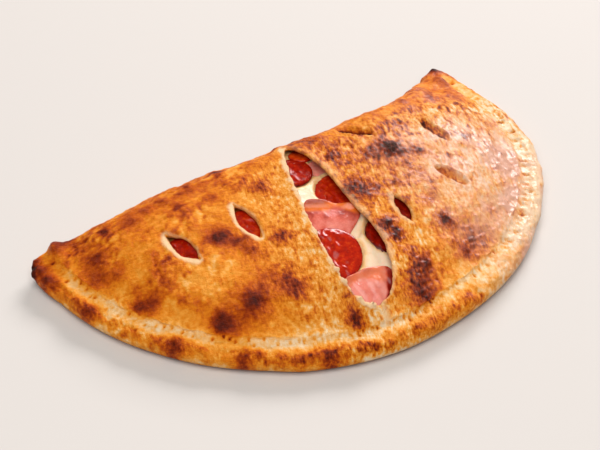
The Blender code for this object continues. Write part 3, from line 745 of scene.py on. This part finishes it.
def make_grain_group():
    """Fine unevenness for every finish here: a value that wanders, and a height for bumps."""
    tree = bpy.data.node_groups.new("grain", "ShaderNodeTree")
    tree.interface.new_socket("Size", in_out="INPUT", socket_type="NodeSocketFloat")
    tree.interface.new_socket("Stretch", in_out="INPUT", socket_type="NodeSocketVector")
    tree.interface.new_socket("Turn", in_out="INPUT", socket_type="NodeSocketVector")
    tree.interface.new_socket("Wander", in_out="OUTPUT", socket_type="NodeSocketFloat")
    tree.interface.new_socket("Height", in_out="OUTPUT", socket_type="NodeSocketFloat")
    inside = tree.nodes.new("NodeGroupInput")
    outside = tree.nodes.new("NodeGroupOutput")
    place = new_node(tree, "TexCoord").outputs["Object"]
    stretch = inside.outputs["Stretch"]
    turn = inside.outputs["Turn"]
    place = new_node(
        tree, "Mapping", {"vector_type": "TEXTURE"}, Vector=place, Scale=stretch, Rotation=turn
    ).outputs["Vector"]
    scale = math_node(tree, "DIVIDE", 1.0, inside.outputs["Size"])
    broad = new_node(tree, "TexNoise", Vector=place, Scale=scale, Detail=3.0, Roughness=0.6)
    finer = math_node(tree, "MULTIPLY", scale, FINER)
    fine = new_node(tree, "TexNoise", Vector=place, Scale=finer, Detail=4.0, Roughness=0.65)
    tree.links.new(math_node(tree, "SUBTRACT", broad.outputs["Fac"], 0.5), outside.inputs["Wander"])
    height = math_node(tree, "ADD", broad.outputs["Fac"], fine.outputs["Fac"])
    tree.links.new(height, outside.inputs["Height"])
    return tree


grain_group = make_grain_group()


def grain(tree, size, stretch=(1.0, 1.0, 1.0), turn=0.0):
    """The grain of one finish: its size, how it is stretched, and its turn round Z."""
    made = tree.nodes.new("ShaderNodeGroup")
    made.node_tree = grain_group
    made.inputs["Size"].default_value = size
    made.inputs["Stretch"].default_value = stretch
    made.inputs["Turn"].default_value = (0.0, 0.0, turn)
    return made.outputs


def new_finish(name):
    """A material with its Principled shader and nothing else in it yet."""
    material = bpy.data.materials.new(name)
    material.use_nodes = True
    return material, material.node_tree, material.node_tree.nodes["Principled BSDF"]


def attribute(tree, name):
    """A value that is stored on the mesh."""
    return new_node(tree, "Attribute", {"attribute_name": name}).outputs["Fac"]


def bump(tree, height, distance):
    """A normal for bumps that stand this high."""
    made = new_node(tree, "Bump", Height=height, Distance=distance, Strength=1.0)
    return made.outputs["Normal"]


DOUGH_STOPS = (
    (0.00, (252, 222, 180)),
    (0.14, (249, 196, 128)),
    (0.28, (244, 164, 62)),
    (0.42, (230, 132, 24)),
    (0.56, (198, 90, 10)),
    (0.70, (146, 50, 8)),
    (0.85, (90, 24, 6)),
    (1.00, (42, 12, 4)),
)
LIP_COLOUR = (248, 208, 160)
# a pale pinkish colour painted on as the light's sheen
SHEEN_PAINT_COLOUR = (236, 178, 150)
DOUGH_BUMP = 0.75 * MM


def make_dough_finish():
    """Browned dough with a pale painted sheen, pale lips at the cuts and places shining with fat.
    """
    material, tree, shader = new_finish("baked dough")
    coarse = grain(tree, 2.3 * MM, (1.25, 1.0, 1.15), DASH_TURN)
    fine = grain(tree, 1.3 * MM, (2.2, 1.0, 1.5), DASH_TURN)
    streaks = grain(tree, 1.6 * MM, (1.0, 2.6, 1.6), STREAK_TURN)
    flaky = attribute(tree, "flaky")
    baked = add_share(tree, attribute(tree, "baked"), coarse["Wander"], 0.30)
    baked = add_share(tree, baked, fine["Wander"], 0.25)
    baked = add_share(tree, baked, math_node(tree, "MULTIPLY", streaks["Wander"], 1.05), flaky)
    brown = colour_ramp(tree, baked, DOUGH_STOPS)
    # paints the pale sheen over the browned colour
    sheened_colour = mix_colours(tree, attribute(tree, "painted_sheen"), brown, linear(*SHEEN_PAINT_COLOUR))
    lipped = mix_colours(tree, attribute(tree, "pale"), sheened_colour, linear(*LIP_COLOUR))
    tree.links.new(lipped, shader.inputs["Base Color"])
    tree.links.new(add_share(tree, 0.44, coarse["Wander"], 0.5), shader.inputs["Roughness"])
    height = add_share(tree, coarse["Height"], fine["Height"], 0.8)
    height = add_share(tree, height, streaks["Height"], flaky)
    tree.links.new(bump(tree, height, DOUGH_BUMP), shader.inputs["Normal"])
    tree.links.new(attribute(tree, "oiled"), shader.inputs["Coat Weight"])
    shader.inputs["Coat Roughness"].default_value = 0.32
    shader.inputs["Coat IOR"].default_value = 1.6
    shader.inputs["Specular IOR Level"].default_value = 0.07
    return material


def finish_piece(obj, material, node):
    """Gives a piece its finish, hangs it under the root body, and hides the solid that it takes the
    place of.
    """
    obj.data.materials.clear()
    obj.data.materials.append(material)
    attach(obj, "root")
    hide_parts(node)


dough = copy_of("crust", "baked_crust")
remesh(dough, DOUGH_VOXEL, DOUGH_SMOOTHING)
dough_x, dough_y, dough_z = points_of(dough.data).T
dough_shown = sees_out(dough) & (dough_z > UNDERSIDE_REACH)
dough_shown |= (np.abs(gash_distance(dough_x, dough_y)) < LIP_REACH) & (dough_z > LIP_LOW)
thin(dough, dough_shown, HIDDEN_SHARE)
bake_dough(dough)
finish_piece(dough, make_dough_finish(), "crust")

# ------------------------------------------------------------------ the cheese
# Grated cheese that has melted into one soft, shining mass under the crust. It has risen
# between the slices of meat in the gash and sunk under them, and their fat tints it orange.
# Deep under the crust, away from the gash, it is painted a darker orange as shade.

CHEESE_VOXEL = 1.2 * MM
CHEESE_SMOOTHING = 4
CHEESE_RISE = 4.2 * MM         # between the slices it stands this much higher than under them
BACK_FILL = (5 * MM, 52 * MM)  # at the gash's back end it has risen over the slices' edges
BACK_FILL_RUN = 7 * MM
BACK_FILL_RISE = 7 * MM
UNDER_SLICE = 0.25 * MM        # it stays this far below a slice that lies on it
CHEESE_TOP = 34 * MM
OPEN_LOW = 8 * MM              # lower than this nothing of it can be seen
OPEN_REACH = 6 * MM            # nor further than this outside the gash
OILY_RUN = 2.2 * MM            # fat from the pepperoni reaches this far
MEAT_NODES = sorted(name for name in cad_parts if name.startswith(("pepperoni", "ham")))


def underside_of_meat(points):
    """Height of the lowest slice over each point, or a large number where there is none."""
    trees = []
    for name in MEAT_NODES:
        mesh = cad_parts[name].data
        faces = [tuple(polygon.vertices) for polygon in mesh.polygons]
        trees.append(BVHTree.FromPolygons([vertex.co for vertex in mesh.vertices], faces))
    up = Vector((0.0, 0.0, 1.0))
    heights = np.full(len(points), 1.0)
    for index, point in enumerate(points.tolist()):
        start = Vector((point[0], point[1], 0.0))
        for tree in trees:
            hit = tree.ray_cast(start, up)[0]
            if hit is not None:
                heights[index] = min(heights[index], hit.z)
    return heights


def melt_cheese(obj):
    """Lets the cheese rise between the slices, and stores where their fat tints it and where shade
    is painted on it under the crust.
    """
    mesh = obj.data
    points = points_of(mesh)
    normals = normals_of(mesh)
    gash = gash_distance(points[:, 0], points[:, 1])
    near = np.flatnonzero((normals[:, 2] > 0.2) & (gash < 9 * MM) & (points[:, 2] > OPEN_LOW))
    spots = points[near]
    meat = underside_of_meat(spots)
    rise = CHEESE_RISE * ramp(-gash[near], -9 * MM, -2 * MM) + 0.7 * MM * lumps(spots, 7 * MM, 20)
    fill = BACK_FILL_RISE * bell(np.hypot(*(spots[:, :2] - BACK_FILL).T), BACK_FILL_RUN)
    raised = np.minimum(spots[:, 2] + rise + fill, CHEESE_TOP)
    spots[:, 2] = np.minimum(raised, np.maximum(meat - UNDER_SLICE + 0.7 * fill, spots[:, 2]))
    points[near] = spots
    place_points(mesh, points)
    fat_tint_and_shade = np.zeros(len(points))
    for name in MEAT_NODES:
        if name.startswith("pepperoni"):
            low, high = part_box(name)
            centre = (low + high) / 2
            far = np.hypot(points[:, 0] - centre.x, points[:, 1] - centre.y) - (high.x - low.x) / 2
            fat_tint_and_shade = np.maximum(fat_tint_and_shade, bell(np.maximum(far, 0.0), OILY_RUN))
    # painted shade: deep under the crust, away from the gash, the cheese is tinted dark orange
    hidden = ramp(gash_distance(points[:, 0], points[:, 1]), 8 * MM, 14 * MM)
    store(mesh, "fat_tint_and_shade", np.maximum(fat_tint_and_shade, 1.6 * hidden))


CHEESE_STOPS = (
    (0.00, (243, 214, 182)),
    (0.35, (236, 198, 152)),
    (0.70, (230, 170, 94)),
    (1.00, (206, 100, 30)),
)


def make_cheese_finish():
    """Pale, soft and shining, tinted orange where fat has run into it, and painted darker orange as
    shade deep under the crust.
    """
    material, tree, shader = new_finish("melted cheese")
    cloudy = grain(tree, 4.0 * MM)
    tint = math_node(tree, "MULTIPLY", attribute(tree, "fat_tint_and_shade"), 0.55)
    tint = add_share(tree, tint, cloudy["Wander"], 0.7)
    tree.links.new(colour_ramp(tree, tint, CHEESE_STOPS), shader.inputs["Base Color"])
    tree.links.new(bump(tree, cloudy["Height"], 0.25 * MM), shader.inputs["Normal"])
    shader.inputs["Roughness"].default_value = 0.28
    shader.inputs["Subsurface Weight"].default_value = 0.25
    shader.inputs["Subsurface Scale"].default_value = 3 * MM
    return material


cheese = copy_of("cheese", "melted_cheese")
remesh(cheese, CHEESE_VOXEL, CHEESE_SMOOTHING)
cheese_x, cheese_y, cheese_z = points_of(cheese.data).T
cheese_shown = (gash_distance(cheese_x, cheese_y) < OPEN_REACH) & (cheese_z > OPEN_LOW)
thin(cheese, cheese_shown, HIDDEN_SHARE)
melt_cheese(cheese)
finish_piece(cheese, make_cheese_finish(), "cheese")

# ------------------------------------------------------------------ the pepperoni
# Thin round slices of spiced sausage. The heat has cupped and wrinkled them and drawn out
# their red fat, which makes them shine. Pale flecks of fat are set in the meat.

PEPPERONI_VOXEL = 0.6 * MM
PEPPERONI_SMOOTHING = 3
WRINKLE = 0.85 * MM
LARGE_SLICE = 12 * MM          # a slice of a smaller radius is wrinkled less by this share
SMOOTHER = 0.4
CUPPING = 0.5 * MM             # the middle has sunk this far
TO_LEFT = (-0.78, 0.62)        # across the slices, away from the gash's right lip
# How dark each slice has baked; pepperoni_8, under the back of the gash's right lip, is painted
# lighter to lift the shade there
PEPPERONI_TONES = {
    "pepperoni_1": 0.50, "pepperoni_2": 0.34, "pepperoni_3": 0.36, "pepperoni_4": 0.68,
    "pepperoni_5": 0.50, "pepperoni_6": 0.30, "pepperoni_7": 0.80, "pepperoni_8": 0.10,
}
# How far a slice has slid from its place, in mm, and one that shines less than the rest
SLIDES = {"pepperoni_2": (0.0, 2.0, 0.0), "pepperoni_8": (1.0, -1.5, 3.0)}
STILL = (0.0, 0.0, 0.0)
SHINES = {"pepperoni_1": 0.10}
USUAL_SHINE = 0.26


def wrinkle_slice(obj, slide, seed):
    """Cups a slice, wrinkles it, slides it to its place and stores where its rim is."""
    mesh = obj.data
    points = points_of(mesh)
    normals = normals_of(mesh)
    low = points.min(axis=0)
    high = points.max(axis=0)
    centre = (low + high) / 2
    radius = (high[0] - low[0]) / 2
    out = np.hypot(points[:, 0] - centre[0], points[:, 1] - centre[1]) / radius
    upper = ramp(normals[:, 2], 0.0, 0.5)
    waves = np.stack([lumps(points, 5 * MM, seed + axis) for axis in (0, 1, 2)], axis=1)
    wavy = points + 1.5 * MM * waves
    folds = 1.0 - 2.2 * np.abs(lumps(wavy, (3.8 * MM, 7.0 * MM, 5 * MM), seed + 3))
    leftward = (points[:, :2] - centre[:2]) @ np.array(TO_LEFT)
    wrinkled = ramp(leftward, -0.7 * radius, 0.0) * (1.0 - ramp(out, 0.7, 0.95))
    depth = WRINKLE * (1.0 if radius > LARGE_SLICE else SMOOTHER)
    lift = depth * folds * (0.15 + 0.85 * wrinkled) - CUPPING * (1.0 - out)
    points[:, 2] += upper * lift
    points += np.array(slide) * MM
    place_points(mesh, points)
    store(mesh, "rim", ramp(out, 0.80, 1.0))


PEPPERONI_STOPS = (
    (0.00, (206, 70, 14)),
    (0.30, (176, 32, 5)),
    (0.60, (144, 18, 4)),
    (1.00, (84, 8, 2)),
)
FAT_COLOUR = (212, 92, 34)
FLECK_SPACING = 2.6 * MM


def make_pepperoni_finish(name, tone, shine):
    """Dark red meat with small flecks of fat, darker at the rim."""
    material, tree, shader = new_finish(name)
    meat = grain(tree, 3.0 * MM)
    place = new_node(tree, "TexCoord").outputs["Object"]
    cells = new_node(tree, "TexVoronoi", Vector=place, Scale=1.0 / FLECK_SPACING, Randomness=1.0)
    dark = add_share(tree, tone, meat["Wander"], 1.1)
    dark = add_share(tree, dark, attribute(tree, "rim"), 0.22)
    red = colour_ramp(tree, dark, PEPPERONI_STOPS)
    far = cells.outputs["Distance"]
    fleck = new_node(tree, "MapRange", Value=far, _1=0.10, _2=0.24, _3=0.28, _4=0.0).outputs[0]
    flecked = mix_colours(tree, fleck, red, linear(*FAT_COLOUR))
    tree.links.new(flecked, shader.inputs["Base Color"])
    tree.links.new(bump(tree, meat["Height"], 0.06 * MM), shader.inputs["Normal"])
    shader.inputs["Roughness"].default_value = 0.14
    shader.inputs["Specular IOR Level"].default_value = shine
    return material


for index, (node, tone) in enumerate(sorted(PEPPERONI_TONES.items())):
    piece = copy_of(node, "baked_" + node)
    remesh(piece, PEPPERONI_VOXEL, PEPPERONI_SMOOTHING)
    wrinkle_slice(piece, SLIDES.get(node, STILL), 30 + 8 * index)
    shine = SHINES.get(node, USUAL_SHINE)
    finish = make_pepperoni_finish("baked pepperoni " + node[-1], tone, shine)
    finish_piece(piece, finish, node)

# ------------------------------------------------------------------ the ham
# Thin slices of cooked ham, draped over the cheese and folded up towards the back, where
# the heat has curled and browned the edge that stood highest.

HAM_LEVELS = 3
# Centre in millimetres, direction of the back edge in degrees from +X, width along it, depth
HAM_SLICES = {
    "ham_1": (9.5, 32.0, 0, 14.0, 11.8),
    "ham_2": (-10.5, -4.5, -38, 33.0, 23.5),
    "ham_3": (-19.0, -50.0, -8, 30.0, 20.0),
}
HAM_CURL = 2.8 * MM
HAM_SWELL = 0.35 * MM
HAM_IN_LIP_SHADOW = "ham_3"           # the slice on which the gash's right lip's shadow is painted, darker where the lip is near
# How much of the back edge is browned, and how far the front corner by the right lip is drawn in
SEARED = {"ham_1": 0.0, "ham_2": 1.0, "ham_3": 0.55}
DRAWN_IN = {"ham_1": 0.0, "ham_2": 6 * MM, "ham_3": 0.0}
HAM_RIDGES = {"ham_1": 0.3 * MM, "ham_2": 0.1 * MM, "ham_3": 0.9 * MM}


def curl_ham(obj, node, seed):
    """Curls a slice's back edge up, draws its corner in and stores where the heat has got it and
    where shade is painted on it.
    """
    centre_x, centre_y, direction, width, depth = HAM_SLICES[node]
    mesh = obj.data
    points = points_of(mesh)
    turn = math.radians(direction)
    off_x = points[:, 0] - centre_x * MM
    off_y = points[:, 1] - centre_y * MM
    back = (off_y * math.cos(turn) - off_x * math.sin(turn)) / (depth / 2 * MM)
    right = (off_x * math.cos(turn) + off_y * math.sin(turn)) / (width / 2 * MM)
    corner = ramp(right, 0.1, 1.0) * ramp(-back, -0.7, 0.8)
    points[:, 0] -= DRAWN_IN[node] * corner * math.cos(turn)
    points[:, 1] -= DRAWN_IN[node] * corner * math.sin(turn)
    edge = ramp(back, 0.55, 0.95)
    flat = points * (1.0, 1.0, 0.0)
    soft = lumps(flat, 9 * MM, seed)
    ridges = HAM_RIDGES[node] * lumps(flat, (3 * MM, 9 * MM, 9 * MM), seed + 3)
    points[:, 2] += HAM_CURL * edge * (0.7 + soft) + (HAM_SWELL * soft + ridges) * (1.0 - edge)
    place_points(mesh, points)
    store(mesh, "seared", SEARED[node] * ramp(back + 0.5 * soft, 0.36, 0.66))
    store(mesh, "crisp", ramp(back + 0.3 * soft, 0.74, 1.0))
    x, y = points[:, 0], points[:, 1]
    # painted shadow of the right lip on one slice, and painted shade under the browned band, which
    # also darkens ham_2 all over
    lip_shadow = ramp(x - gash_spine(y), 0.0, 3 * MM) * (node == HAM_IN_LIP_SHADOW)
    lip_shadow *= ramp(gash_distance(x, y), -4.5 * MM, -1.5 * MM)
    shade = (0.32 + 0.3 * bell(back - 0.35, 0.35)) * SEARED[node] ** 3
    store(mesh, "edge", np.maximum(lip_shadow, shade))


HAM_STOPS = (
    (0.00, (240, 172, 152)),
    (0.45, (230, 136, 118)),
    (0.75, (206, 92, 74)),
    (1.00, (140, 26, 16)),
)
SEARED_STOPS = ((0.0, (232, 114, 36)), (1.0, (168, 58, 16)))


def make_ham_finish():
    """Wet pink meat, browned along the back edge, with painted shade below that edge and in the
    right lip's shadow.
    """
    material, tree, shader = new_finish("cooked ham")
    meat = grain(tree, 6.0 * MM)
    tone = add_share(tree, 0.41, meat["Wander"], 0.8)
    # darkens the pink with the stored painted shade and ham_2's darker tone
    tone = add_share(tree, tone, attribute(tree, "edge"), 0.7)
    pink = colour_ramp(tree, tone, HAM_STOPS)
    crisp = colour_ramp(tree, attribute(tree, "crisp"), SEARED_STOPS)
    browned = mix_colours(tree, attribute(tree, "seared"), pink, crisp)
    tree.links.new(browned, shader.inputs["Base Color"])
    tree.links.new(bump(tree, meat["Height"], 0.30 * MM), shader.inputs["Normal"])
    shader.inputs["Roughness"].default_value = 0.20
    shader.inputs["Subsurface Weight"].default_value = 0.2
    shader.inputs["Subsurface Scale"].default_value = 2 * MM
    return material


ham_finish = make_ham_finish()
for index, node in enumerate(HAM_SLICES):
    piece = copy_of(node, "cooked_" + node)
    add_modifier(piece, "SUBSURF", levels=HAM_LEVELS, render_levels=HAM_LEVELS)
    apply_modifiers(piece)
    curl_ham(piece, node, 100 + 5 * index)
    finish_piece(piece, ham_finish, node)

# ------------------------------------------------------------------ the table and the light
# A plain pale table top, a wide soft light from behind and to the right, and a pale room.

TABLE_REACH = 3.0
TABLE_COLOUR = (204, 199, 194)
# Place, size, watts and colour of the window-like light and of the soft one over the viewer
LIGHTS = {
    "window": ((1.50, 0.95, 1.05), (1.1, 0.7), 47.0, (1.0, 0.955, 0.955)),
    "fill": ((-0.6, -0.6, 1.8), (1.8, 1.8), 38.5, (1.0, 0.99, 0.98)),
}
ROOM_COLOUR = (1.0, 0.985, 0.965, 1.0)
ROOM_STRENGTH = 0.22

bm = bmesh.new()
bmesh.ops.create_grid(bm, x_segments=8, y_segments=8, size=TABLE_REACH)
table_mesh = bpy.data.meshes.new("table")
bm.to_mesh(table_mesh)
bm.free()
table = bpy.data.objects.new("table", table_mesh)
bpy.context.scene.collection.objects.link(table)
table_finish, _, table_shader = new_finish("pale table")
table_shader.inputs["Base Color"].default_value = linear(*TABLE_COLOUR)
table_shader.inputs["Roughness"].default_value = 0.8
table_shader.inputs["Specular IOR Level"].default_value = 0.0
table_mesh.materials.append(table_finish)

for light_name, (light_place, light_size, watts, light_colour) in LIGHTS.items():
    light_data = bpy.data.lights.new(light_name, "AREA")
    light_data.shape = "RECTANGLE"
    light_data.size, light_data.size_y = light_size
    light_data.energy = watts
    light_data.color = light_colour
    light = bpy.data.objects.new(light_name, light_data)
    light.location = light_place
    light.rotation_mode = "QUATERNION"
    light.rotation_quaternion = (-Vector(light_place)).to_track_quat("-Z", "Y")
    bpy.context.scene.collection.objects.link(light)

world = bpy.data.worlds.new("room")
world.use_nodes = True
world.node_tree.nodes["Background"].inputs["Color"].default_value = ROOM_COLOUR
world.node_tree.nodes["Background"].inputs["Strength"].default_value = ROOM_STRENGTH
bpy.context.scene.world = world
bpy.context.scene.view_settings.view_transform = "Standard"

# ------------------------------------------------------------------ the camera
# It looks down on the piece at forty degrees, from beyond the left end of the crimped edge.

LENS = 96.0                    # on a sensor 36 wide
CAMERA_TARGET = Vector((-15.7 * MM, 15.4 * MM, 14.3 * MM))
CAMERA_DISTANCE = 0.8602
CAMERA_AZIMUTH = math.radians(-38.354)
CAMERA_ELEVATION = math.radians(40.58)
CAMERA_ROLL = math.radians(0.544)

back = Vector((
    math.sin(CAMERA_AZIMUTH) * math.cos(CAMERA_ELEVATION),
    -math.cos(CAMERA_AZIMUTH) * math.cos(CAMERA_ELEVATION),
    math.sin(CAMERA_ELEVATION),
))
camera_data = bpy.data.cameras.new("camera")
camera_data.lens = LENS
camera = bpy.data.objects.new("camera", camera_data)
camera.location = CAMERA_TARGET + back * CAMERA_DISTANCE
camera.rotation_mode = "QUATERNION"
roll = Matrix.Rotation(CAMERA_ROLL, 3, "Z").to_quaternion()
camera.rotation_quaternion = (-back).to_track_quat("-Z", "Y") @ roll
bpy.context.scene.collection.objects.link(camera)
bpy.context.scene.camera = camera
